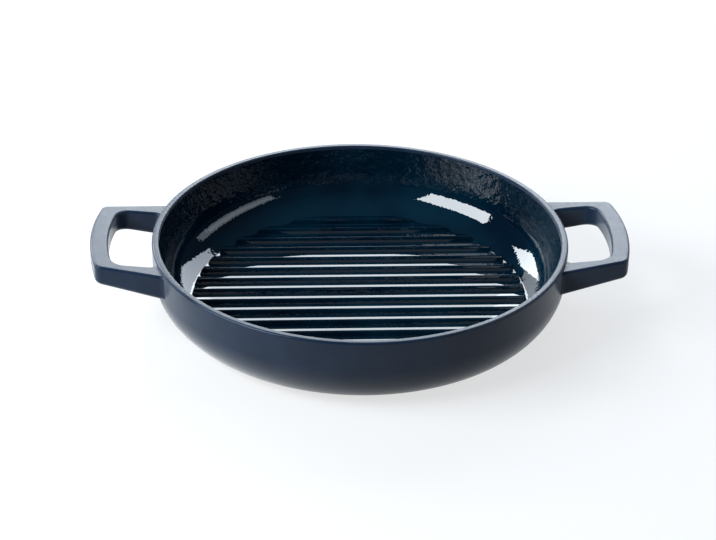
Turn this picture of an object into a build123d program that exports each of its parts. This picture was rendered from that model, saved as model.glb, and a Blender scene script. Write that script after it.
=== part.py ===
from build123d import *
import os
from math import atan, cos, degrees, sin, tan

# A round grill pan: an iron dish with a ribbed floor and two loop handles, enamelled all over.
# Lengths are in millimetres. The dish stands on z = 0 with its axis on Z, and the handles lie along X.

# Dish, measured over the enamel
rim_radius = 130.0
pan_height = 50.0
wall_thickness = 4.4
wall_lean = 0.6
floor_thickness = 5.0
corner_radius = 32.0
rim_outer_radius = 1.5
rim_inner_radius = 1.0
rim_curve_share = 0.55

# Underside: a flat foot ring round a slightly relieved centre
foot_width = 16.0
foot_relief = 0.8

# Enamel
enamel_thickness = 0.4
rim_band = 2.2
base_coat_reach = 6.0

# Grill ribs, measured over the enamel
rib_pitch = 13.3
rib_height = 4.2
rib_crest_width = 3.6
rib_foot_width = 6.4
rib_crest_radius = 1.0
rib_foot_radius = 1.0
rib_circle_margin = 25.0
rib_circle_radius = rim_radius - rib_circle_margin
rib_end_draft = 1.6
rib_end_radius = 1.5
rib_root_depth = 1.5
rib_foot_sink = 0.05
rib_end_crown = 0.1

# Loop handles, measured over the enamel
handle_reach = 38.0
handle_root_width = 91.0
handle_tip_width = 79.0
handle_end_bow = 5.4
handle_corner_radius = 5.0
handle_drop = 1.6
handle_rise = 3.6
handle_root_thickness = 15.8
handle_tip_thickness = 12.2
handle_end_bar = 11.2
handle_opening_width = 69.0
handle_opening_bow = 4.4
handle_opening_radius = 9.5
handle_root_outer_radius = 8.0
handle_root_inner_radius = 5.0
handle_root_blend = 1.2
handle_root_depth = 25.0
handle_top_radius = 1.7
handle_bottom_radius = 3.0

# One overrun for every cut that runs past the stock
overrun = 2.0


def wall_radius(height):
    """Outer radius of the enamelled wall at a height above the base."""
    return rim_radius - wall_lean * (pan_height - height) / pan_height


def round_corner(sketch, corner, radius):
    """Round the one corner of a sketch that lies nearest to a point."""
    fillet(sketch.vertices().sort_by_distance(corner)[0], radius)


def eased_corner(before, corner, after, radius):
    """Smooth curve that turns a corner, from one radius before it to one radius after it."""
    corner = Vector(corner)
    start = corner + (Vector(before) - corner).normalized() * radius
    finish = corner + (Vector(after) - corner).normalized() * radius
    start_handle = start + (corner - start) * rim_curve_share
    finish_handle = finish + (corner - finish) * rim_curve_share
    return Bezier(start, start_handle, finish_handle, finish)


def outer_outline(inset, top):
    """Half section of the dish as if it were solid, with its outside moved in by the inset."""
    relief_shift = inset * tan(atan(1) / 2)
    foot_inner = rim_radius - wall_lean - corner_radius - foot_width
    base_corner = (wall_radius(inset) - inset, inset)
    with BuildSketch() as outline:
        with BuildLine():
            Polyline(
                (0, foot_relief + inset),
                (foot_inner + relief_shift, foot_relief + inset),
                (foot_inner + foot_relief + relief_shift, inset),
                base_corner,
                (wall_radius(top) - inset, top),
                (0, top),
                close=True,
            )
        make_face()
        round_corner(outline, base_corner, corner_radius - inset)
    return outline.sketch_local


def hollow_outline(inset, top):
    """Half section of the space inside the dish, with its sides moved out by the inset."""
    floor_height = floor_thickness - inset
    reach = inset - wall_thickness
    floor_corner = (wall_radius(floor_height) + reach, floor_height)
    with BuildSketch() as outline:
        with BuildLine():
            Polyline(
                (0, floor_height),
                floor_corner,
                (wall_radius(top) + reach, top),
                (0, top),
                close=True,
            )
        make_face()
        round_corner(outline, floor_corner, corner_radius - wall_thickness + inset)
    return outline.sketch_local


def dish_section(inset):
    """Half section of the dish wall and floor, with every surface moved in by the inset."""
    top = pan_height - inset
    with BuildSketch() as section:
        add(outer_outline(inset, top))
        add(hollow_outline(inset, top + overrun), mode=Mode.SUBTRACT)
        round_corner(section, (wall_radius(top) - inset, top), rim_outer_radius - inset)
        round_corner(section, (wall_radius(top) - wall_thickness + inset, top), rim_inner_radius - inset)
    return section.sketch_local


def turned(section):
    """Solid of revolution of a half section about the pan's axis."""
    with BuildPart() as solid:
        with BuildSketch(Plane.XZ):
            add(section)
        revolve(axis=Axis.Z)
    return solid.part


def grill_ribs(inset):
    """All the grill ribs in one group, moved in by the inset and rooted in the floor."""
    root = floor_thickness - inset - rib_root_depth
    base = floor_thickness - inset
    foot_base = base - rib_foot_sink
    crest = base + rib_height
    flank_angle = atan(2 * rib_height / (rib_foot_width - rib_crest_width))
    flank_shift = inset * tan(flank_angle / 2)
    half_crest = rib_crest_width / 2 - flank_shift
    half_foot = rib_foot_width / 2 - flank_shift + rib_foot_sink / tan(flank_angle)
    crest_radius = rib_crest_radius - inset
    foot_radius = rib_foot_radius + inset
    foot_tangent = foot_radius * tan(flank_angle / 2)
    outermost = rib_circle_radius - rib_foot_width / 2
    pairs = round(outermost / rib_pitch)

    with BuildSketch() as rib_section:
        with BuildLine():
            crest_line = Line((0, crest), (half_crest - crest_radius * tan(flank_angle / 2), crest))
            shoulder = JernArc(crest_line @ 1, crest_line % 1, crest_radius, -degrees(flank_angle))
            foot_start = (
                half_foot - foot_tangent * cos(flank_angle),
                foot_base + foot_tangent * sin(flank_angle),
            )
            flank = Line(shoulder @ 1, foot_start)
            foot = JernArc(flank @ 1, flank % 1, foot_radius, degrees(flank_angle))
            root_side = Line(foot @ 1, (half_foot + foot_tangent, root))
            Line(root_side @ 1, (0, root))
            mirror(about=Plane.YZ)
        make_face()

    end_angle = atan(rib_height / rib_end_draft)
    end_shift = inset * tan(end_angle / 2)
    disc_top = crest + rib_end_crown
    disc_corner = (rib_circle_radius - end_shift, disc_top)
    root_reach = rib_circle_radius - end_shift + rib_end_draft * (disc_top - root) / rib_height
    with BuildSketch() as circle_section:
        with BuildLine():
            Polyline((0, root), (root_reach, root), disc_corner, (0, disc_top), close=True)
        make_face()
        round_corner(circle_section, disc_corner, rib_end_radius - inset)

    # Half the ribs lie on each side, with a channel along the middle
    with BuildPart() as ribs:
        with BuildSketch(Plane.YZ):
            with GridLocations(rib_pitch, 0, 2 * pairs, 1):
                add(rib_section.sketch_local)
        extrude(amount=rib_circle_radius + overrun, both=True)
        with BuildSketch(Plane.XZ):
            add(circle_section.sketch_local)
        revolve(axis=Axis.Z, mode=Mode.INTERSECT)
    return ribs.part


def handle_plan(inset):
    """Outline of the right handle from above, run on into the dish, moved in by the inset."""
    tip = rim_radius + handle_reach
    shoulder_x = tip - handle_end_bow
    widening = (handle_root_width - handle_tip_width) / 2 / (shoulder_x - rim_radius)
    root_x = rim_radius - handle_root_depth
    root_half = handle_root_width / 2 + widening * handle_root_depth
    tip_half = handle_tip_width / 2
    opening_tip = tip - handle_end_bar
    opening_shoulder = opening_tip - handle_opening_bow
    opening_half = handle_opening_width / 2
    blend_radius = rim_radius - handle_root_blend
    with BuildSketch() as plan:
        with BuildLine():
            outer_end = ThreePointArc((shoulder_x, -tip_half), (tip, 0), (shoulder_x, tip_half))
            Polyline(outer_end @ 1, (root_x, root_half), (root_x, -root_half), outer_end @ 0)
        make_face()
        fillet(plan.vertices().group_by(Axis.X)[-1], handle_corner_radius)
        with BuildSketch(mode=Mode.SUBTRACT) as opening:
            with BuildLine():
                opening_end = ThreePointArc(
                    (opening_shoulder, -opening_half), (opening_tip, 0), (opening_shoulder, opening_half)
                )
                Polyline(opening_end @ 1, (root_x, opening_half), (root_x, -opening_half), opening_end @ 0)
            make_face()
            fillet(opening.vertices().group_by(Axis.X)[-1], handle_opening_radius)
        Circle(blend_radius)
        wall_corners = [
            corner
            for corner in plan.vertices()
            if abs(Vector(corner).length - blend_radius) < handle_root_blend / 2 and corner.X > root_x
        ]
        wall_corners.sort(key=lambda corner: abs(corner.Y))
        inner_corners = wall_corners[:2]
        outer_corners = wall_corners[2:]
        fillet(inner_corners, handle_root_inner_radius)
        fillet(outer_corners, handle_root_outer_radius)
        with Locations((root_x, 0)):
            Rectangle(
                rim_radius, 2 * rim_radius, align=(Align.MIN, Align.CENTER), mode=Mode.INTERSECT
            )
        if inset > 0:
            offset(amount=-inset, kind=Kind.INTERSECTION)
    return plan.sketch_local


def handle_form(inset):
    """Right handle with its edges rounded, run on into the dish, moved in by the inset."""
    tip = rim_radius + handle_reach
    root_x = rim_radius - handle_root_depth
    rise = handle_rise / handle_reach
    thinning = (handle_root_thickness - handle_tip_thickness) / handle_reach
    top = pan_height - handle_drop - inset
    bottom = pan_height - handle_drop - handle_root_thickness + inset
    inward = root_x - rim_radius
    outward = tip - rim_radius + overrun
    with BuildPart() as form:
        with BuildSketch():
            add(handle_plan(inset))
        extrude(amount=pan_height + handle_rise)
        with BuildSketch(Plane.XZ):
            with BuildLine():
                Polyline(
                    (rim_radius + inward, top + rise * inward),
                    (rim_radius + outward, top + rise * outward),
                    (rim_radius + outward, bottom + (rise + thinning) * outward),
                    (rim_radius + inward, bottom + (rise + thinning) * inward),
                    close=True,
                )
            make_face()
        extrude(amount=rim_radius, both=True, mode=Mode.INTERSECT)
        faces_by_height = form.faces().sort_by(Axis.Z)
        # Every edge of the top and of the bottom is rounded but the one that is buried in the dish
        for face, radius in (
            (faces_by_height[-1], handle_top_radius - inset),
            (faces_by_height[0], handle_bottom_radius - inset),
        ):
            fillet(face.edges().sort_by(Axis.X)[1:], radius)
    return form.part


# Sections and rough forms that several pieces share
iron_section = dish_section(enamel_thickness)
iron_ribs = grill_ribs(enamel_thickness)
finished_ribs = grill_ribs(0)
coat_top = pan_height - rim_band
base_coat_radius = rim_radius - wall_lean - corner_radius + base_coat_reach
iron_filled = turned(outer_outline(enamel_thickness, pan_height + handle_rise))
finished_filled = turned(outer_outline(0, pan_height + handle_rise))

# Iron dish with its ribs, cast in one
with BuildPart() as pan_casting:
    add(turned(iron_section))
    add(iron_ribs)
pan_casting.part.label = "pan_casting"

# Iron core of the right handle, seated on the iron wall
with BuildPart() as right_handle:
    add(handle_form(enamel_thickness))
    add(iron_filled, mode=Mode.SUBTRACT)
right_handle.part.label = "right_handle"

# Enamel sleeve of the right handle, seated on the enamelled wall
with BuildPart() as right_handle_enamel:
    add(handle_form(0))
    add(finished_filled, mode=Mode.SUBTRACT)
    add(right_handle.part, mode=Mode.SUBTRACT)
right_handle_enamel.part.label = "right_handle_enamel"

# The left handle mirrors the right one
with BuildPart() as left_handle:
    mirror(right_handle.part, about=Plane.YZ)
left_handle.part.label = "left_handle"

with BuildPart() as left_handle_enamel:
    mirror(right_handle_enamel.part, about=Plane.YZ)
left_handle_enamel.part.label = "left_handle_enamel"

# The room inside the finished pan, down to the ribs and the floor between them
with BuildPart() as free_room:
    add(turned(hollow_outline(0, coat_top + overrun)))
    add(finished_ribs, mode=Mode.SUBTRACT)

# Gloss enamel over the ribs, the floor and the inside of the wall: what lies between iron and room
with BuildPart() as interior_enamel:
    add(turned(hollow_outline(enamel_thickness, coat_top)))
    add(free_room.part, mode=Mode.SUBTRACT)
    add(iron_ribs, mode=Mode.SUBTRACT)
interior_enamel.part.label = "interior_enamel"

# Satin enamel over the outside of the wall, open where the iron handles pass through it
with BuildSketch() as exterior_section:
    add(outer_outline(0, coat_top))
    add(outer_outline(enamel_thickness, coat_top + overrun), mode=Mode.SUBTRACT)
    with Locations((base_coat_radius, 0)):
        Rectangle(rim_radius, pan_height, align=(Align.MIN, Align.MIN), mode=Mode.INTERSECT)

with BuildPart() as exterior_enamel:
    add(turned(exterior_section.sketch_local))
    add(right_handle.part, mode=Mode.SUBTRACT)
    add(left_handle.part, mode=Mode.SUBTRACT)
exterior_enamel.part.label = "exterior_enamel"

# Satin enamel over the land of the rim, which eases into the wall on both sides
outer_foot = (wall_radius(coat_top), coat_top)
outer_edge = (rim_radius, pan_height)
inner_edge = (rim_radius - wall_thickness, pan_height)
inner_foot = (wall_radius(coat_top) - wall_thickness, coat_top)
with BuildSketch() as rim_section:
    with BuildLine():
        outer_curve = eased_corner(outer_foot, outer_edge, inner_edge, rim_outer_radius)
        inner_curve = eased_corner(outer_edge, inner_edge, inner_foot, rim_inner_radius)
        Line(outer_curve @ 1, inner_curve @ 0)
        Polyline(inner_curve @ 1, inner_foot, outer_foot, outer_curve @ 0)
    make_face()
    add(iron_section, mode=Mode.SUBTRACT)

with BuildPart() as rim_enamel:
    add(turned(rim_section.sketch_local))
rim_enamel.part.label = "rim_enamel"

# Ground coat under the base, which the pan stands on
with BuildSketch() as base_section:
    add(outer_outline(0, coat_top))
    add(outer_outline(enamel_thickness, coat_top + overrun), mode=Mode.SUBTRACT)
    Rectangle(base_coat_radius, pan_height, align=(Align.MIN, Align.MIN), mode=Mode.INTERSECT)

with BuildPart() as base_enamel:
    add(turned(base_section.sketch_local))
base_enamel.part.label = "base_enamel"

os.makedirs("parts", exist_ok=True)
for piece in (
    pan_casting,
    left_handle,
    right_handle,
    interior_enamel,
    exterior_enamel,
    rim_enamel,
    base_enamel,
    left_handle_enamel,
    right_handle_enamel,
):
    export_step(piece.part, f"parts/{piece.part.label}.step")
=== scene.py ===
from math import asin, atan, cos, hypot, pi, radians, sin, sqrt, tan

import bmesh
import bpy
from bpy.props import FloatProperty, FloatVectorProperty, IntProperty, PointerProperty
from mathutils import Matrix, Vector


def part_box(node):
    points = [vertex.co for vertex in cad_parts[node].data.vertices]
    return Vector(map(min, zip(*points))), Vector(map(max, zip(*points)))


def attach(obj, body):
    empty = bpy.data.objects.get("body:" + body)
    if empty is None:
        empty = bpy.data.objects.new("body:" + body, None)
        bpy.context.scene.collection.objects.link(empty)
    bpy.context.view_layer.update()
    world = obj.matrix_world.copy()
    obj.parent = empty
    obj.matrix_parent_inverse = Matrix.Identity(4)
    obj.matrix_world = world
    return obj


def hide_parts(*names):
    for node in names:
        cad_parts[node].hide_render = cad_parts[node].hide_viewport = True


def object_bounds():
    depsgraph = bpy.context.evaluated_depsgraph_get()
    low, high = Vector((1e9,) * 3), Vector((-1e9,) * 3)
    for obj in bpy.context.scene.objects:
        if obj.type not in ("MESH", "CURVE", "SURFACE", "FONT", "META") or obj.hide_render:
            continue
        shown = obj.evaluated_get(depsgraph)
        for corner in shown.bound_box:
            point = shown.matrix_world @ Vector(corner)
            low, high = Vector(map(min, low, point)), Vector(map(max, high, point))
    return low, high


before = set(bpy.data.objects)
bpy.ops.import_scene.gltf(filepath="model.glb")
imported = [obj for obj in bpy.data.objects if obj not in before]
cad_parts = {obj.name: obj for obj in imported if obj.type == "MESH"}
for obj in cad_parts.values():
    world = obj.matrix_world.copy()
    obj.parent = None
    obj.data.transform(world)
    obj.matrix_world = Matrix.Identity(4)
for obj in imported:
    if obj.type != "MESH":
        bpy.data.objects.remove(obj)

bl_info = {
    "name": "Enamelled grill pan",
    "version": (1, 0, 0),
    "blender": (4, 5, 0),
    "location": "View3D > Sidebar > Grill pan",
    "description": "Builds the enamel coats of a cast iron grill pan, and a studio round it",
    "category": "Object",
}

CAD_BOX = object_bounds()
RIM_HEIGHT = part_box("rim_enamel")[1].z
BASE_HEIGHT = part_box("base_enamel")[0].z

# Points closer than this are one point
TOUCH = 1e-6

# Faces that turn by less than this are shaded as one
SMOOTH_ANGLE = radians(13)

# Slope of the step between the foot ring and the base inside it
FOOT_SLOPE = radians(45)

# A handle's blank runs back into the dish by its opening's width over this number
BACK_PARTS = 3

# Length of the flare at a handle's root, as a share of the radius there
FLARE_SHARE = 3 / 2

# The range of a noise that is spread over a range of roughness
NOISE_SHARES = (0.3, 0.7)

# The range of a noise over which one colour turns into the other
CLOUD_SHARES = (0.35, 0.65)

# The softboxes: name, azimuth and elevation in degrees, distance, width and height in metres,
# radiance, the studio's setting for its colour, and roll in degrees
SOFTBOXES = (
    ("back_left", -38.5, 26.5, 1.27, 0.46, 0.42, 14, "cool_white", 0),
    ("back_dim", -17.5, 25.5, 1.27, 0.42, 0.33, 2.5, "cool_white", 0),
    ("back_middle", 3, 31, 1.27, 0.50, 0.60, 7.5, "cool_white", 0),
    ("back_right", 26.5, 30, 1.27, 0.57, 0.54, 5, "cool_blue", 0),
    ("left_light", -110, 34, 1.3, 0.95, 0.62, 16, "cool_white", 8),
    ("right_card", 95, 28, 1.3, 1.45, 0.34, 1.5, "cool_blue", 0),
    ("right_core", 98, 28.5, 1.25, 1.1, 0.18, 1.0, "cool_blue", 0),
)


# Settings

def length(name, description, default):
    """A property that holds a length in metres."""
    return FloatProperty(name=name, description=description, default=default, unit="LENGTH", precision=5)


def turn(name, description, degrees):
    """A property that holds an angle, given here in degrees."""
    return FloatProperty(name=name, description=description, default=radians(degrees), unit="ROTATION")


def factor(name, description, default):
    """A property that holds a number without a unit."""
    return FloatProperty(name=name, description=description, default=default, precision=4)


def count(name, description, default):
    """A property that holds a whole number."""
    return IntProperty(name=name, description=description, default=default, min=1)


def colour(name, description, default):
    """A property that holds a linear colour."""
    return FloatVectorProperty(
        name=name, description=description, default=default, size=3, subtype="COLOR"
    )


class GrillPanDish(bpy.types.PropertyGroup):
    rim_radius: length("Rim radius", "Outer radius of the rim", 0.130)
    wall_thickness: length("Wall thickness", "Thickness of the wall over both coats", 0.0044)
    wall_lean: length("Wall lean", "How much wider the wall is at the rim than at the base", 0.0006)
    floor_thickness: length("Floor thickness", "Thickness of the floor over both coats", 0.005)
    corner_radius: length("Corner radius", "Outer radius between wall and base", 0.032)
    rim_outer_radius: length("Rim outer rounding", "Rounding of the rim's outer edge", 0.0015)
    rim_inner_radius: length("Rim inner rounding", "Rounding of the rim's inner edge", 0.0010)
    foot_width: length("Foot width", "Width of the foot ring", 0.016)
    foot_relief: length("Foot relief", "Height of the base inside the foot ring", 0.0008)
    enamel: length("Enamel thickness", "Thickness of every coat", 0.0004)
    rim_band: length("Rim band", "Height of the band that the rim's coat covers", 0.0022)
    base_reach: length("Base coat reach", "How far the ground coat runs up past the foot ring", 0.006)
    turn_steps: count("Steps round", "Steps of a turned piece", 288)
    corner_steps: count("Corner steps", "Steps of the large corner", 28)
    edge_steps: count("Edge steps", "Steps of a small rounded edge", 8)


class GrillPanRibs(bpy.types.PropertyGroup):
    number: count("Ribs", "Number of ribs", 16)
    pitch: length("Pitch", "Distance from rib to rib", 0.0133)
    height: length("Height", "Height of a rib over the floor", 0.0042)
    crest_width: length("Crest width", "Width of a rib at its crest, before rounding", 0.0036)
    foot_width: length("Foot width", "Width of a rib at its foot, before rounding", 0.0064)
    crest_radius: length("Crest rounding", "Rounding of the crest's edges", 0.0010)
    foot_radius: length("Foot rounding", "Rounding of the foot's hollows", 0.0010)
    circle_radius: length("Circle radius", "Radius of the circle on which the ribs end", 0.105)
    end_draft: length("End draft", "How far a rib's end leans over its height", 0.0016)
    end_radius: length("End rounding", "Rounding of a rib's end", 0.0015)
    end_crown: length("End crown", "How far the end's rounding stands over the crests", 0.0001)
    foot_sink: length("Foot sink", "How far a rib's hollows sink into the floor's coat", 0.00005)
    root_depth: length("Root depth", "Depth of a rib's root under the floor", 0.0015)
    edge_steps: count("Edge steps", "Steps of a rounded edge", 8)


class GrillPanHandles(bpy.types.PropertyGroup):
    reach: length("Reach", "How far a handle stands out from the rim", 0.038)
    root_width: length("Root width", "Width at the wall", 0.091)
    tip_width: length("Tip width", "Width at the tip", 0.079)
    end_bow: length("End bow", "Bow of the end", 0.0054)
    corner_radius: length("Corner radius", "Radius of the outer corners", 0.005)
    drop: length("Drop", "How far the top lies under the rim at the wall", 0.0016)
    rise: length("Rise", "How much the top rises to the tip", 0.0036)
    root_thickness: length("Root thickness", "Thickness at the wall", 0.0158)
    tip_thickness: length("Tip thickness", "Thickness at the tip", 0.0122)
    end_bar: length("End bar", "Width of the end bar", 0.0112)
    opening_width: length("Opening width", "Width of the opening", 0.069)
    opening_bow: length("Opening bow", "Bow of the opening's far side", 0.0044)
    opening_radius: length("Opening radius", "Radius of the opening's far corners", 0.0095)
    root_outer_radius: length("Outer root radius", "Radius where the outer side meets the wall", 0.008)
    root_inner_radius: length("Inner root radius", "Radius where the opening meets the wall", 0.005)
    root_blend: length("Root blend", "Depth inside the wall at which the root radii end", 0.0012)
    top_radius: length("Top rounding", "Rounding of the top edges", 0.0017)
    bottom_radius: length("Bottom rounding", "Rounding of the bottom edges", 0.0030)
    corner_steps: count("Corner steps", "Steps of a corner", 10)
    bow_steps: count("Bow steps", "Steps of the bowed end", 14)
    edge_steps: count("Edge steps", "Steps of a rounded edge", 8)


class GrillPanColours(bpy.types.PropertyGroup):
    gloss_deep: colour("Gloss, deep", "Inside enamel where it is thick", (0.0001, 0.0045, 0.0120))
    gloss_thin: colour("Gloss, thin", "Inside enamel where it is thin", (0.0005, 0.0115, 0.0230))
    satin_dark: colour("Satin, dark", "Outside enamel, darker clouds", (0.0040, 0.0140, 0.0340))
    satin_light: colour("Satin, light", "Outside enamel, lighter clouds", (0.0080, 0.0210, 0.0460))
    ground_dark: colour("Ground coat, dark", "Base enamel, darker clouds", (0.0060, 0.0070, 0.0090))
    ground_light: colour("Ground coat, light", "Base enamel, lighter clouds", (0.0130, 0.0140, 0.0170))
    iron_dark: colour("Iron, dark", "Cast iron, darker grains", (0.0250, 0.0250, 0.0270))
    iron_light: colour("Iron, light", "Cast iron, lighter grains", (0.0650, 0.0650, 0.0700))


class GrillPanSurfaces(bpy.types.PropertyGroup):
    gloss_least: factor("Gloss, least roughness", "Inside enamel where it is smoothest", 0.012)
    gloss_most: factor("Gloss, most roughness", "Inside enamel where it is dullest", 0.030)
    gloss_ior: factor("Gloss, index", "Index of refraction of the inside enamel", 1.54)
    gloss_ripple: length("Gloss, ripple", "Depth of the inside enamel's ripple", 0.0010)
    gloss_peel: length("Gloss, peel", "Depth of the inside enamel's fine peel", 0.0002)
    cove_start: length("Cove start", "Radius at which the cove's ripple sets in", 0.101)
    cove_end: length("Cove end", "Radius at which the cove's ripple is full", 0.112)
    wall_start: length("Wall start", "Radius at which the wall's ripple sets in", 0.1235)
    wall_end: length("Wall end", "Radius at which the wall's ripple is full", 0.1253)
    satin_least: factor("Satin, least roughness", "Outside enamel where it is smoothest", 0.18)
    satin_most: factor("Satin, most roughness", "Outside enamel where it is dullest", 0.26)
    satin_grain: factor("Satin, grain", "Strength of the outside enamel's pebbles", 0.5)
    satin_ior: factor("Satin, index", "Index of refraction of the outside enamel", 1.24)
    satin_sheen: factor("Satin, sheen", "Weight of the outside enamel's sheen", 0.4)
    satin_sheen_roughness: factor("Satin, sheen roughness", "Roughness of that sheen", 0.45)
    satin_ripple: length("Satin, ripple", "Depth of the outside enamel's ripple", 0.0004)
    satin_pebbles: length("Satin, pebbles", "Depth of the outside enamel's pebbles", 0.00015)
    ground_least: factor("Ground coat, least roughness", "Base enamel where it is smoothest", 0.55)
    ground_most: factor("Ground coat, most roughness", "Base enamel where it is dullest", 0.7)
    ground_grain: factor("Ground coat, grain", "Strength of the base enamel's pebbles", 0.6)
    iron_least: factor("Iron, least roughness", "Cast iron where it is smoothest", 0.55)
    iron_most: factor("Iron, most roughness", "Cast iron where it is dullest", 0.8)
    iron_metal: factor("Iron, metal", "How metallic the bare iron looks", 0.7)
    iron_grains: length("Iron, grains", "Depth of the cast iron's grains", 0.0003)


class GrillPanStudio(bpy.types.PropertyGroup):
    image_width: count("Image width", "Width of the picture in pixels", 716)
    image_height: count("Image height", "Height of the picture in pixels", 540)
    focal_pixels: factor("Focal length", "Focal length in pixels", 2090.0)
    sensor_width: factor("Sensor width", "Width of the camera's sensor in millimetres", 36.0)
    distance: length("Distance", "From the camera to the middle of the rim", 1.308)
    elevation: turn("Elevation", "Height of the camera over the rim", 28.59)
    azimuth: turn("Azimuth", "Turn of the pan against the camera", 2.96)
    roll: turn("Roll", "Clockwise roll of the picture", 0.84)
    rim_pixel_x: factor("Rim centre X", "Pixel column of the middle of the rim", 360.16)
    rim_pixel_y: factor("Rim centre Y", "Pixel row of the middle of the rim", 234.76)
    floor_size: length("Floor size", "Side of the square floor", 12.0)
    floor_grey: colour("Floor", "Colour of the floor under the lamps", (0.25, 0.25, 0.25))
    floor_roughness: factor("Floor roughness", "Roughness of the floor", 0.9)
    floor_glow: factor("Floor glow", "White that the camera and reflections see on the floor", 0.68)
    room_low: colour("Room, low", "Colour of the room at the height of the floor", (0.030, 0.040, 0.055))
    room_middle: colour("Room, middle", "Colour of the room halfway up", (0.030, 0.050, 0.075))
    room_high: colour("Room, high", "Colour of the room overhead", (0.060, 0.180, 0.300))
    room_middle_share: factor("Room, middle height", "Sine of the elevation of the room's middle", 0.6)
    cool_white: colour("Cool white", "Colour of the lamps at the back and on the left", (0.88, 0.95, 1.00))
    cool_blue: colour("Cool blue", "Colour of the lamps on the right", (0.78, 0.88, 1.00))


def settings():
    """The group that holds all the settings."""
    return bpy.context.scene.grill_pan


# Helpers for modelling

def start_fresh():
    """Leave edit mode and deselect everything."""
    if bpy.context.object is not None and bpy.context.object.mode != "OBJECT":
        bpy.ops.object.mode_set(mode="OBJECT")
    bpy.ops.object.select_all(action="DESELECT")


def activate(piece):
    """Make a piece the only selected and active one."""
    start_fresh()
    piece.select_set(True)
    bpy.context.view_layer.objects.active = piece


def edit(piece):
    """Open a piece for editing with nothing selected, and return its mesh."""
    activate(piece)
    bpy.ops.object.mode_set(mode="EDIT")
    bpy.ops.mesh.select_mode(type="VERT")
    bpy.ops.mesh.select_all(action="DESELECT")
    return bmesh.from_edit_mesh(piece.data)


def select_vertex(piece, here):
    """Select the vertex that lies at a place."""
    mesh = edit(piece)
    for vertex in mesh.verts:
        if (vertex.co - here).length < TOUCH:
            vertex.select_set(True)
    mesh.select_flush(True)
    bmesh.update_edit_mesh(piece.data)


def flat_section(name, corners, steps, across=Vector((1, 0, 0))):
    """A flat upright face. Each corner is its place across, its height and its rounding."""
    start_fresh()
    bpy.ops.mesh.primitive_circle_add(vertices=len(corners), radius=RIM_HEIGHT, fill_type="NGON")
    piece = bpy.context.object
    piece.name = name
    places = [across * out + Vector((0, 0, height)) for out, height, rounding in corners]
    for vertex, place in zip(piece.data.vertices, places):
        vertex.co = place
    for index, (out, height, rounding) in enumerate(corners):
        if rounding > 0:
            here = places[index]
            before = (places[index - 1] - here).normalized()
            after = (places[(index + 1) % len(places)] - here).normalized()
            turn_angle = pi - before.angle(after)
            select_vertex(piece, here)
            bpy.ops.mesh.bevel(
                offset=rounding * tan(turn_angle / 2), segments=steps, affect="VERTICES", clamp_overlap=False
            )
    start_fresh()
    return piece


def tidy_mesh(piece):
    """Merge what coincides and turn every face outwards."""
    edit(piece)
    bpy.ops.mesh.select_all(action="SELECT")
    bpy.ops.mesh.remove_doubles(threshold=TOUCH)
    bpy.ops.mesh.normals_make_consistent(inside=False)
    start_fresh()


def spin_section(piece):
    """Turn a flat section about the pan's axis into a closed solid."""
    edit(piece)
    bpy.ops.mesh.select_all(action="SELECT")
    bpy.ops.mesh.delete(type="ONLY_FACE")
    mesh = edit(piece)
    bpy.ops.mesh.select_mode(type="EDGE")
    for edge in mesh.edges:
        if all(abs(vertex.co.x) < TOUCH for vertex in edge.verts):
            edge.select_set(True)
    bmesh.update_edit_mesh(piece.data)
    bpy.ops.mesh.delete(type="EDGE")
    bpy.ops.mesh.select_mode(type="VERT")
    bpy.ops.mesh.select_all(action="SELECT")
    bpy.ops.mesh.spin(
        steps=settings().dish.turn_steps, angle=2 * pi, center=(0, 0, 0), axis=(0, 0, 1)
    )
    tidy_mesh(piece)
    return piece


def combine(piece, other, operation):
    """Join, cut or intersect a piece with another, which is used up."""
    activate(piece)
    modifier = piece.modifiers.new("combine", "BOOLEAN")
    modifier.operation = operation
    modifier.object = other
    modifier.solver = "EXACT"
    bpy.ops.object.modifier_apply(modifier=modifier.name)
    bpy.data.objects.remove(other)
    return piece


def smooth(piece):
    """Shade a piece smooth but for its sharp edges, with its flat faces kept flat."""
    activate(piece)
    bpy.ops.object.shade_smooth_by_angle(angle=SMOOTH_ANGLE)
    modifier = piece.modifiers.new("flat_faces_lead", "WEIGHTED_NORMAL")
    modifier.keep_sharp = True
    bpy.ops.object.modifier_apply(modifier=modifier.name)
    start_fresh()


def finish_piece(piece, name, material, node):
    """Shade and name a piece, give it its finish and tie it to the pan in place of its plain node."""
    smooth(piece)
    piece.name = name
    piece.data.name = name
    piece.data.materials.clear()
    piece.data.materials.append(material)
    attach(piece, "root")
    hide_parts(node)


# Shapes of the dish

def wall_radius(height):
    """Outer radius of the enamelled wall at a height above the base."""
    dish = settings().dish
    return dish.rim_radius - dish.wall_lean * (RIM_HEIGHT - height) / RIM_HEIGHT


def outer_corners(inset, top):
    """Corners of the dish's outside from the middle of the base to a height on the wall."""
    dish = settings().dish
    shift = inset * tan(FOOT_SLOPE / 2)
    foot_inner = dish.rim_radius - dish.wall_lean - dish.corner_radius - dish.foot_width
    return [
        (0, dish.foot_relief + inset, 0),
        (foot_inner + shift, dish.foot_relief + inset, 0),
        (foot_inner + dish.foot_relief + shift, inset, 0),
        (wall_radius(inset) - inset, inset, dish.corner_radius - inset),
        (wall_radius(top) - inset, top, 0),
    ]


def hollow_corners(inset, top):
    """Corners of the space inside the dish, with its sides moved out by the inset."""
    dish = settings().dish
    floor = dish.floor_thickness - inset
    reach = inset - dish.wall_thickness
    return [
        (0, floor, 0),
        (wall_radius(floor) + reach, floor, dish.corner_radius - dish.wall_thickness + inset),
        (wall_radius(top) + reach, top, 0),
    ]


def coat_top():
    """Height at which the rim's coat begins."""
    return RIM_HEIGHT - settings().dish.rim_band


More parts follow.
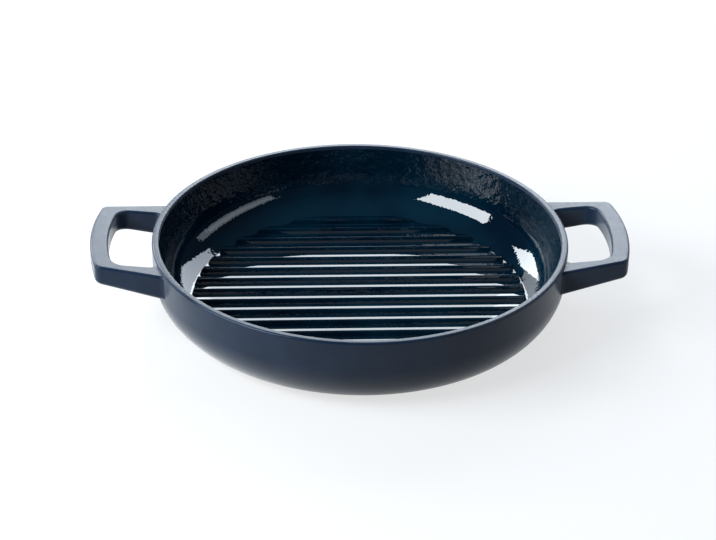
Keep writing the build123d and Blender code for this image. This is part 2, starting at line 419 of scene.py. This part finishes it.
def outside_solid():
    """The dish as if it were solid, to trim what stands on its wall."""
    top = CAD_BOX[1][2] + settings().dish.rim_band
    corners = outer_corners(0, top) + [(0, top, 0)]
    return spin_section(flat_section("outside", corners, settings().dish.corner_steps))


def outer_coat(name, keep_outside):
    """The coat under and round the dish, cut at the edge of the ground coat."""
    dish = settings().dish
    inner = list(reversed(outer_corners(dish.enamel, coat_top())))
    piece = flat_section(name, outer_corners(0, coat_top()) + inner, dish.corner_steps)
    split = dish.rim_radius - dish.wall_lean - dish.corner_radius + dish.base_reach
    edit(piece)
    bpy.ops.mesh.select_all(action="SELECT")
    bpy.ops.mesh.bisect(
        plane_co=(split, 0, 0), plane_no=(1, 0, 0), clear_inner=keep_outside, clear_outer=not keep_outside
    )
    return spin_section(piece)


def rim_coat():
    """The coat over the land of the rim, with its rounded edges."""
    dish = settings().dish
    low = coat_top()
    corners = []
    for inset in (0, dish.enamel):
        top = RIM_HEIGHT - inset
        ring = [
            (wall_radius(low) - inset, low, 0),
            (wall_radius(top) - inset, top, dish.rim_outer_radius - inset),
            (wall_radius(top) - dish.wall_thickness + inset, top, dish.rim_inner_radius - inset),
            (wall_radius(low) - dish.wall_thickness + inset, low, 0),
        ]
        corners += ring if inset == 0 else list(reversed(ring))
    return spin_section(flat_section("rim", corners, dish.edge_steps))


# Shapes of the ribs

def rib_bars(inset):
    """All the ribs as endless bars, moved in by the inset, with their roots under the floor."""
    ribs = settings().ribs
    floor = settings().dish.floor_thickness - inset
    crest = floor + ribs.height
    root = floor - ribs.root_depth
    hollow = floor - ribs.foot_sink
    flank = atan(2 * ribs.height / (ribs.foot_width - ribs.crest_width))
    shift = inset * tan(flank / 2)
    half_crest = ribs.crest_width / 2 - shift
    half_foot = ribs.foot_width / 2 - shift + ribs.foot_sink / tan(flank)
    foot_radius = ribs.foot_radius + inset
    wing = half_foot + foot_radius * tan(flank / 2) + TOUCH
    half = [
        (wing, root, 0),
        (wing, hollow, 0),
        (half_foot, hollow, foot_radius),
        (half_crest, crest, ribs.crest_radius - inset),
    ]
    corners = half + [(-out, height, rounding) for out, height, rounding in reversed(half)]
    piece = flat_section("ribs", corners, ribs.edge_steps, across=Vector((0, 1, 0)))
    half_length = ribs.circle_radius + ribs.pitch
    first = ribs.pitch * (ribs.number - 1) / 2
    edit(piece)
    bpy.ops.mesh.select_all(action="SELECT")
    bpy.ops.transform.translate(value=(-half_length, -first, 0))
    bpy.ops.mesh.extrude_region_move(TRANSFORM_OT_translate={"value": (2 * half_length, 0, 0)})
    tidy_mesh(piece)
    activate(piece)
    array = piece.modifiers.new("all_ribs", "ARRAY")
    array.count = ribs.number
    array.use_relative_offset = False
    array.use_constant_offset = True
    array.constant_offset_displace = (0, ribs.pitch, 0)
    bpy.ops.object.modifier_apply(modifier=array.name)
    return piece


def rib_disc(inset):
    """The disc that the ribs are trimmed to, with its drafted and rounded rim."""
    ribs = settings().ribs
    floor = settings().dish.floor_thickness - inset
    bottom = floor - 2 * ribs.root_depth
    top = floor + ribs.height + ribs.end_crown
    shift = inset * tan(atan(ribs.height / ribs.end_draft) / 2)
    edge = ribs.circle_radius - shift
    corners = [
        (0, bottom, 0),
        (edge + ribs.end_draft * (top - bottom) / ribs.height, bottom, 0),
        (edge, top, ribs.end_radius - inset),
        (0, top, 0),
    ]
    return spin_section(flat_section("rib_disc", corners, ribs.edge_steps))


def hollow_solid(inset):
    """The space inside the dish as a solid, to trim what stands on the floor."""
    corners = hollow_corners(inset, RIM_HEIGHT) + [(0, RIM_HEIGHT, 0)]
    return spin_section(flat_section("hollow", corners, settings().dish.corner_steps))


def inner_coat():
    """The coat over the ribs, the floor and the inside of the wall, as one closed skin."""
    dish = settings().dish
    inner = list(reversed(hollow_corners(dish.enamel, coat_top())))
    coat = spin_section(flat_section("coat", hollow_corners(0, coat_top()) + inner, dish.corner_steps))
    ribs = combine(rib_bars(0), rib_disc(0), "INTERSECT")
    ribs = combine(ribs, hollow_solid(dish.enamel / 2), "INTERSECT")
    coat = combine(coat, ribs, "UNION")
    cores = combine(rib_bars(dish.enamel), rib_disc(dish.enamel), "INTERSECT")
    return combine(coat, cores, "DIFFERENCE")


# Shape of a handle

def rounded_path(corners, side):
    """Points of a closed outline with their outward normals. A corner is x, y, rounding and steps."""
    path = []
    for index, (x, y, rounding, steps) in enumerate(corners):
        here = Vector((x, y))
        arriving = (here - Vector(corners[index - 1][:2])).normalized()
        leaving = (Vector(corners[(index + 1) % len(corners)][:2]) - here).normalized()
        bend = arriving.angle_signed(leaving, 0)
        if rounding == 0:
            along = (arriving + leaving).normalized()
            path.append((here, Vector((along.y, -along.x)) * side))
            continue
        start = here - arriving * rounding * tan(abs(bend) / 2)
        to_centre = Vector((arriving.y, -arriving.x)) * (1 if bend > 0 else -1)
        centre = start + to_centre * rounding
        for step in range(steps + 1):
            rotation = Matrix.Rotation(-bend * step / steps, 2)
            spoke = rotation @ -to_centre
            along = rotation @ arriving
            path.append((centre + spoke * rounding, Vector((along.y, -along.x)) * side))
    return path


def bow_points(tip, bow, half, rounding, steps):
    """Points along a bowed end, between its two rounded corners."""
    radius = (half * half + bow * bow) / (2 * bow)
    widest = asin((half - rounding) / radius)
    angles = [widest * (2 * step / steps - 1) for step in range(steps + 1)]
    return [(tip - radius + radius * cos(angle), radius * sin(angle), 0, 0) for angle in angles]


def wall_meeting(tip_x, tip_half, widening, radius):
    """Where a handle's side, drawn from its tip, meets a circle about the pan's axis."""
    stretch = 1 + widening * widening
    half_at_axis = tip_half + widening * tip_x
    gap = stretch * radius * radius - half_at_axis * half_at_axis
    x = (widening * half_at_axis + sqrt(gap)) / stretch
    return x, half_at_axis - widening * x


def handle_outlines():
    """The outer outline and the opening of the right handle, with as many points each."""
    handles = settings().handles
    rim = settings().dish.rim_radius
    tip = rim + handles.reach
    blend = rim - handles.root_blend
    half = handles.tip_width / 2
    shoulder = tip - handles.end_bow
    widening = (handles.root_width / 2 - half) / (shoulder - rim)
    root_x, root_y = wall_meeting(shoulder, half, widening, blend)
    flare = Vector((-root_y, root_x)).normalized() * handles.root_outer_radius * FLARE_SHARE
    back_x = rim - handles.opening_width / BACK_PARTS
    steps = handles.corner_steps
    outer_half = [
        (back_x, root_y + flare.y, 0, 0),
        (root_x + flare.x, root_y + flare.y, 0, 0),
        (root_x, root_y, handles.root_outer_radius, steps),
        (shoulder, half, handles.corner_radius, steps),
    ]
    opening_tip = tip - handles.end_bar
    opening_half = handles.opening_width / 2
    inner_x, inner_y = wall_meeting(opening_tip, opening_half, 0, blend)
    wall_angle = atan(inner_y / inner_x)
    inner_half = [
        (blend * cos(wall_angle / 3), blend * sin(wall_angle / 3), 0, 0),
        (blend * cos(wall_angle * 2 / 3), blend * sin(wall_angle * 2 / 3), 0, 0),
        (inner_x, inner_y, handles.root_inner_radius, steps),
        (opening_tip - handles.opening_bow, opening_half, handles.opening_radius, steps),
    ]
    outlines = []
    for corners, end, bow, reach, side in (
        (outer_half, tip, handles.end_bow, half, 1),
        (inner_half, opening_tip, handles.opening_bow, opening_half, -1),
    ):
        lower = [(x, -y, rounding, bends) for x, y, rounding, bends in corners]
        end_rounding = corners[-1][2]
        bowed_end = bow_points(end, bow, reach, end_rounding, handles.bow_steps)
        loop = lower + bowed_end + list(reversed(corners))
        outlines.append(rounded_path(loop, side))
    return outlines


def handle_ring(inset):
    """The right handle as a closed loop that runs on into the dish, moved in by the inset."""
    handles = settings().handles
    rim = settings().dish.rim_radius
    outer, inner = handle_outlines()
    rise = handles.rise / handles.reach
    thinning = (handles.root_thickness - handles.tip_thickness) / handles.reach
    steps = handles.edge_steps
    quarter = [pi / 2 * step / steps for step in range(steps + 1)]
    stations = []
    for outline in (outer, inner):
        top = [(outline, handles.top_radius - inset, angle, True) for angle in quarter]
        bottom = [(outline, handles.bottom_radius - inset, angle, False) for angle in reversed(quarter)]
        ring = top + bottom
        stations += ring if outline is outer else list(reversed(ring))

    start_fresh()
    bpy.ops.mesh.primitive_torus_add(
        major_segments=len(outer),
        minor_segments=len(stations),
        major_radius=rim,
        minor_radius=handles.end_bar,
    )
    piece = bpy.context.object
    places = []
    for index in range(len(outer)):
        for outline, radius, angle, is_top in stations:
            point, normal = outline[index]
            place = point - normal * (inset + radius * (1 - sin(angle)))
            out = place.x - rim
            drop = radius * (1 - cos(angle))
            top = RIM_HEIGHT - handles.drop + rise * out
            bottom = top - handles.root_thickness + thinning * out
            height = top - inset - drop if is_top else bottom + inset + drop
            places.extend((place.x, place.y, height))
    piece.data.vertices.foreach_set("co", places)
    piece.data.update()
    tidy_mesh(piece)
    return piece


def handle_coat():
    """The coat of the right handle, seated on the enamelled wall."""
    piece = combine(handle_ring(0), handle_ring(settings().dish.enamel), "DIFFERENCE")
    return combine(piece, outside_solid(), "DIFFERENCE")


# Materials

def new_material(name):
    """An empty node material with its links, its main shader and a function that adds a node to it."""
    material = bpy.data.materials.new(name)
    material.use_nodes = True
    tree = material.node_tree

    def add(kind, **inputs):
        node = tree.nodes.new(kind)
        for key, value in inputs.items():
            node.inputs[key].default_value = value
        return node

    return material, tree.links.new, tree.nodes["Principled BSDF"], add


def surface_noise(link, add, per_metre, detail, roughness=0.5):
    """Noise in the piece's own space, with so many features a metre."""
    place = add("ShaderNodeTexCoord")
    noise = add("ShaderNodeTexNoise", Scale=per_metre, Detail=detail, Roughness=roughness)
    link(place.outputs["Object"], noise.inputs["Vector"])
    return noise.outputs["Fac"]


def spread(link, add, value, low, high, out_low, out_high):
    """Map a value from one range to another."""
    node = add("ShaderNodeMapRange")
    for key, number in (("From Min", low), ("From Max", high), ("To Min", out_low), ("To Max", out_high)):
        node.inputs[key].default_value = number
    link(value, node.inputs["Value"])
    return node.outputs["Result"]


def calculated(link, add, operation, first, second):
    """The result of an operation on two values."""
    node = add("ShaderNodeMath")
    node.operation = operation
    link(first, node.inputs[0])
    link(second, node.inputs[1])
    return node.outputs["Value"]


def outer_share(link, add, start, end):
    """Nothing near the pan's axis and one outside, from one radius to another."""
    place = add("ShaderNodeTexCoord")
    flatten = add("ShaderNodeVectorMath")
    flatten.operation = "MULTIPLY"
    flatten.inputs[1].default_value = (1, 1, 0)
    link(place.outputs["Object"], flatten.inputs[0])
    radius = add("ShaderNodeVectorMath")
    radius.operation = "LENGTH"
    link(flatten.outputs["Vector"], radius.inputs[0])
    return spread(link, add, radius.outputs["Value"], start, end, 0, 1)


def faded(link, add, height, amount, least):
    """A height kept whole where the amount is one, and down to its least share where it is nothing."""
    return calculated(link, add, "MULTIPLY", height, spread(link, add, amount, 0, 1, least, 1))


def clouded(link, add, value, dark, light, socket):
    """Colour a socket with two near colours, mixed by a value."""
    ramp = add("ShaderNodeValToRGB")
    for stop, position, tint in zip(ramp.color_ramp.elements, CLOUD_SHARES, (dark, light)):
        stop.position = position
        stop.color = (*tint, 1)
    link(value, ramp.inputs["Fac"])
    link(ramp.outputs["Color"], socket)


def worn(link, add, value, least, most, socket):
    """Roughen a socket between two limits, by a noise."""
    link(spread(link, add, value, *NOISE_SHARES, least, most), socket)


def relief(link, add, height, depth, strength, previous=None):
    """A bump of a depth in metres, laid over an earlier one."""
    bump = add("ShaderNodeBump", Strength=strength, Distance=depth)
    link(height, bump.inputs["Height"])
    if previous is not None:
        link(previous, bump.inputs["Normal"])
    return bump.outputs["Normal"]


def gloss_enamel():
    """Vitreous enamel inside the pan: glassy, near black, with a fired coat's ripple on cove and wall."""
    colours = settings().colours
    surfaces = settings().surfaces
    material, link, shader, add = new_material("gloss_enamel")
    clouds = surface_noise(link, add, per_metre=28, detail=3)
    clouded(link, add, clouds, colours.gloss_deep, colours.gloss_thin, shader.inputs["Base Color"])
    wear = surface_noise(link, add, per_metre=160, detail=4)
    worn(link, add, wear, surfaces.gloss_least, surfaces.gloss_most, shader.inputs["Roughness"])
    on_cove = outer_share(link, add, surfaces.cove_start, surfaces.cove_end)
    on_wall = outer_share(link, add, surfaces.wall_start, surfaces.wall_end)
    ripple = faded(link, add, surface_noise(link, add, per_metre=190, detail=2), on_cove, least=0.10)
    ripple = faded(link, add, ripple, on_wall, least=0.07)
    peel = faded(link, add, surface_noise(link, add, per_metre=480, detail=1), on_cove, least=0.10)
    peel = faded(link, add, peel, on_wall, least=0.20)
    normal = relief(link, add, ripple, surfaces.gloss_ripple, strength=0.80)
    normal = relief(link, add, peel, surfaces.gloss_peel, strength=0.90, previous=normal)
    link(normal, shader.inputs["Normal"])
    shader.inputs["IOR"].default_value = surfaces.gloss_ior
    return material


def satin_enamel(name, dark, light, least, most, grain):
    """Satin enamel outside the pan: evenly soft, with a fine pebbled skin."""
    surfaces = settings().surfaces
    material, link, shader, add = new_material(name)
    clouds = surface_noise(link, add, per_metre=45, detail=4)
    clouded(link, add, clouds, dark, light, shader.inputs["Base Color"])
    patches = surface_noise(link, add, per_metre=210, detail=5, roughness=0.6)
    worn(link, add, patches, least, most, shader.inputs["Roughness"])
    ripple = surface_noise(link, add, per_metre=130, detail=2)
    normal = relief(link, add, ripple, surfaces.satin_ripple, strength=0.15)
    pebbles = surface_noise(link, add, per_metre=850, detail=2, roughness=0.6)
    normal = relief(link, add, pebbles, surfaces.satin_pebbles, strength=grain, previous=normal)
    link(normal, shader.inputs["Normal"])
    shader.inputs["IOR"].default_value = surfaces.satin_ior
    shader.inputs["Sheen Weight"].default_value = surfaces.satin_sheen
    shader.inputs["Sheen Roughness"].default_value = surfaces.satin_sheen_roughness
    return material


def outside_satin():
    """The slate blue satin enamel that the wall, the rim and the handles share."""
    colours = settings().colours
    surfaces = settings().surfaces
    found = bpy.data.materials.get("satin_enamel")
    if found is not None:
        return found
    return satin_enamel(
        "satin_enamel",
        colours.satin_dark,
        colours.satin_light,
        surfaces.satin_least,
        surfaces.satin_most,
        surfaces.satin_grain,
    )


def ground_coat():
    """The matt, near black coat under the base."""
    colours = settings().colours
    surfaces = settings().surfaces
    return satin_enamel(
        "ground_coat",
        colours.ground_dark,
        colours.ground_light,
        surfaces.ground_least,
        surfaces.ground_most,
        surfaces.ground_grain,
    )


def cast_iron():
    """Bare grey iron as it leaves the sand, under all the coats."""
    colours = settings().colours
    surfaces = settings().surfaces
    material, link, shader, add = new_material("cast_iron")
    grains = surface_noise(link, add, per_metre=700, detail=6, roughness=0.7)
    clouded(link, add, grains, colours.iron_dark, colours.iron_light, shader.inputs["Base Color"])
    worn(link, add, grains, surfaces.iron_least, surfaces.iron_most, shader.inputs["Roughness"])
    link(relief(link, add, grains, surfaces.iron_grains, strength=0.5), shader.inputs["Normal"])
    shader.inputs["Metallic"].default_value = surfaces.iron_metal
    return material


# Operators for the pan

class GRILLPAN_OT_iron(bpy.types.Operator):
    """Give the iron castings under the enamel their finish"""

    bl_idname = "grillpan.iron"
    bl_label = "Cast iron"

    def execute(self, context):
        material = cast_iron()
        for name in ("pan_casting", "left_handle", "right_handle"):
            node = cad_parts[name]
            node.data.materials.clear()
            node.data.materials.append(material)
        return {"FINISHED"}


class GRILLPAN_OT_inside(bpy.types.Operator):
    """Build the gloss coat over the ribs, the floor and the inside of the wall"""

    bl_idname = "grillpan.inside"
    bl_label = "Inside coat"

    def execute(self, context):
        piece = inner_coat()
        finish_piece(piece, "inside_gloss_coat", gloss_enamel(), "interior_enamel")
        return {"FINISHED"}


class GRILLPAN_OT_outside(bpy.types.Operator):
    """Build the satin coats of the wall and the rim, and the ground coat under the base"""

    bl_idname = "grillpan.outside"
    bl_label = "Outside coats"

    def execute(self, context):
        wall = outer_coat("wall", True)
        finish_piece(wall, "outside_satin_coat", outside_satin(), "exterior_enamel")
        rim = rim_coat()
        finish_piece(rim, "rim_satin_coat", outside_satin(), "rim_enamel")
        base = outer_coat("base", False)
        finish_piece(base, "base_ground_coat", ground_coat(), "base_enamel")
        return {"FINISHED"}


class GRILLPAN_OT_handles(bpy.types.Operator):
    """Build the satin coats of both loop handles"""

    bl_idname = "grillpan.handles"
    bl_label = "Handle coats"

    def execute(self, context):
        right = handle_coat()
        left = right.copy()
        left.data = right.data.copy()
        context.collection.objects.link(left)
        activate(left)
        bpy.ops.transform.mirror(constraint_axis=(True, False, False))
        bpy.ops.object.transform_apply(location=True, rotation=True, scale=True)
        tidy_mesh(left)
        for piece, side in ((right, "right"), (left, "left")):
            coat = side + "_handle_satin_coat"
            finish_piece(piece, coat, outside_satin(), side + "_handle_enamel")
        return {"FINISHED"}


# Studio

def direction(azimuth, elevation):
    """A direction seen from the pan: azimuth from +Y towards +X, in degrees."""
    across = cos(radians(elevation))
    return Vector(
        (across * sin(radians(azimuth)), across * cos(radians(azimuth)), sin(radians(elevation)))
    )


def softbox(name, azimuth, elevation, distance, width, height, radiance, tint, roll):
    """A soft rectangular lamp that faces the pan."""
    lamp = bpy.data.lights.new(name, "AREA")
    lamp.shape = "RECTANGLE"
    lamp.size = width
    lamp.size_y = height
    lamp.energy = radiance * pi * width * height
    lamp.color = getattr(settings().studio, tint)
    holder = bpy.data.objects.new(name, lamp)
    bpy.context.collection.objects.link(holder)
    toward = direction(azimuth, elevation)
    holder.location = toward * distance
    facing = toward.to_track_quat("Z", "Y").to_matrix() @ Matrix.Rotation(radians(roll), 3, "Z")
    holder.rotation_euler = facing.to_euler()
    holder.visible_camera = False


def studio_floor():
    """A pale floor that looks white to the camera and in reflections, and keeps a faint shadow."""
    studio = settings().studio
    start_fresh()
    bpy.ops.mesh.primitive_plane_add(size=studio.floor_size, location=(0, 0, BASE_HEIGHT))
    floor = bpy.context.object
    floor.name = "studio_floor"
    material, link, shader, add = new_material("studio_white")
    shader.inputs["Base Color"].default_value = (*studio.floor_grey, 1)
    shader.inputs["Roughness"].default_value = studio.floor_roughness
    shader.inputs["Specular IOR Level"].default_value = 0
    shader.inputs["Emission Color"].default_value = (1, 1, 1, 1)
    rays = add("ShaderNodeLightPath").outputs
    mirrored = calculated(link, add, "MAXIMUM", rays["Is Glossy Ray"], rays["Is Transmission Ray"])
    seen = calculated(link, add, "MAXIMUM", rays["Is Camera Ray"], mirrored)
    glow = spread(link, add, seen, 0, 1, 0, studio.floor_glow)
    link(glow, shader.inputs["Emission Strength"])
    floor.data.materials.append(material)


def studio_world():
    """A dim room that turns from near black round the floor to a dull blue overhead."""
    studio = settings().studio
    world = bpy.data.worlds.new("studio")
    world.use_nodes = True
    tree = world.node_tree
    place = tree.nodes.new("ShaderNodeTexCoord")
    parts = tree.nodes.new("ShaderNodeSeparateXYZ")
    ramp = tree.nodes.new("ShaderNodeValToRGB")
    low, high = ramp.color_ramp.elements
    low.color = (*studio.room_low, 1)
    high.color = (*studio.room_high, 1)
    middle = ramp.color_ramp.elements.new(studio.room_middle_share)
    middle.color = (*studio.room_middle, 1)
    tree.links.new(place.outputs["Generated"], parts.inputs["Vector"])
    tree.links.new(parts.outputs["Z"], ramp.inputs["Fac"])
    tree.links.new(ramp.outputs["Color"], tree.nodes["Background"].inputs["Color"])
    bpy.context.scene.world = world


def studio_camera():
    """A camera at the photographed viewing angle."""
    studio = settings().studio
    turned_by = Matrix.Rotation(-studio.azimuth, 3, "Z")
    back = turned_by @ Vector((0, -cos(studio.elevation), sin(studio.elevation)))
    right = turned_by @ Vector((1, 0, 0))
    forward = -back
    up = right.cross(forward)
    column = studio.rim_pixel_x - studio.image_width / 2
    row = studio.image_height / 2 - studio.rim_pixel_y
    across = column * cos(studio.roll) - row * sin(studio.roll)
    above = column * sin(studio.roll) + row * cos(studio.roll)
    yaw = atan(across / studio.focal_pixels)
    pitch = atan(above / hypot(across, studio.focal_pixels))
    right, forward = right * cos(yaw) + forward * sin(yaw), forward * cos(yaw) - right * sin(yaw)
    up, forward = up * cos(pitch) + forward * sin(pitch), forward * cos(pitch) - up * sin(pitch)
    rolled_right = right * cos(studio.roll) + up * sin(studio.roll)
    rolled_up = up * cos(studio.roll) - right * sin(studio.roll)
    data = bpy.data.cameras.new("studio_camera")
    data.sensor_fit = "HORIZONTAL"
    data.sensor_width = studio.sensor_width
    data.lens = studio.focal_pixels / studio.image_width * studio.sensor_width
    camera = bpy.data.objects.new("studio_camera", data)
    bpy.context.collection.objects.link(camera)
    place = Matrix((rolled_right, rolled_up, -forward)).transposed().to_4x4()
    place.translation = Vector((0, 0, RIM_HEIGHT)) + back * studio.distance
    camera.matrix_world = place
    bpy.context.scene.camera = camera


class GRILLPAN_OT_studio(bpy.types.Operator):
    """Set up the camera, the pale floor, the dim room and the softboxes"""

    bl_idname = "grillpan.studio"
    bl_label = "Studio"

    def execute(self, context):
        studio_camera()
        studio_floor()
        studio_world()
        for box in SOFTBOXES:
            softbox(*box)
        context.scene.view_settings.view_transform = "Standard"
        return {"FINISHED"}


# Panel and registration

class GRILLPAN_PT_panel(bpy.types.Panel):
    """Lists the steps that build the grill pan"""

    bl_idname = "GRILLPAN_PT_panel"
    bl_label = "Grill pan"
    bl_space_type = "VIEW_3D"
    bl_region_type = "UI"
    bl_category = "Grill pan"

    def draw(self, context):
        for step in STEPS:
            self.layout.operator(step.bl_idname)
        for group in (settings().dish, settings().ribs, settings().handles):
            box = self.layout.box()
            for name in group.__annotations__:
                box.prop(group, name)


class GrillPanSettings(bpy.types.PropertyGroup):
    dish: PointerProperty(type=GrillPanDish)
    ribs: PointerProperty(type=GrillPanRibs)
    handles: PointerProperty(type=GrillPanHandles)
    colours: PointerProperty(type=GrillPanColours)
    surfaces: PointerProperty(type=GrillPanSurfaces)
    studio: PointerProperty(type=GrillPanStudio)


GROUPS = (
    GrillPanDish,
    GrillPanRibs,
    GrillPanHandles,
    GrillPanColours,
    GrillPanSurfaces,
    GrillPanStudio,
    GrillPanSettings,
)
STEPS = (
    GRILLPAN_OT_iron,
    GRILLPAN_OT_inside,
    GRILLPAN_OT_outside,
    GRILLPAN_OT_handles,
    GRILLPAN_OT_studio,
)


def register():
    for item in (*GROUPS, *STEPS, GRILLPAN_PT_panel):
        bpy.utils.register_class(item)
    bpy.types.Scene.grill_pan = PointerProperty(type=GrillPanSettings)


def unregister():
    del bpy.types.Scene.grill_pan
    for item in reversed((*GROUPS, *STEPS, GRILLPAN_PT_panel)):
        bpy.utils.unregister_class(item)


def main():
    register()
    bpy.ops.grillpan.iron()
    bpy.ops.grillpan.inside()
    bpy.ops.grillpan.outside()
    bpy.ops.grillpan.handles()
    bpy.ops.grillpan.studio()


if __name__ == "__main__":
    main()
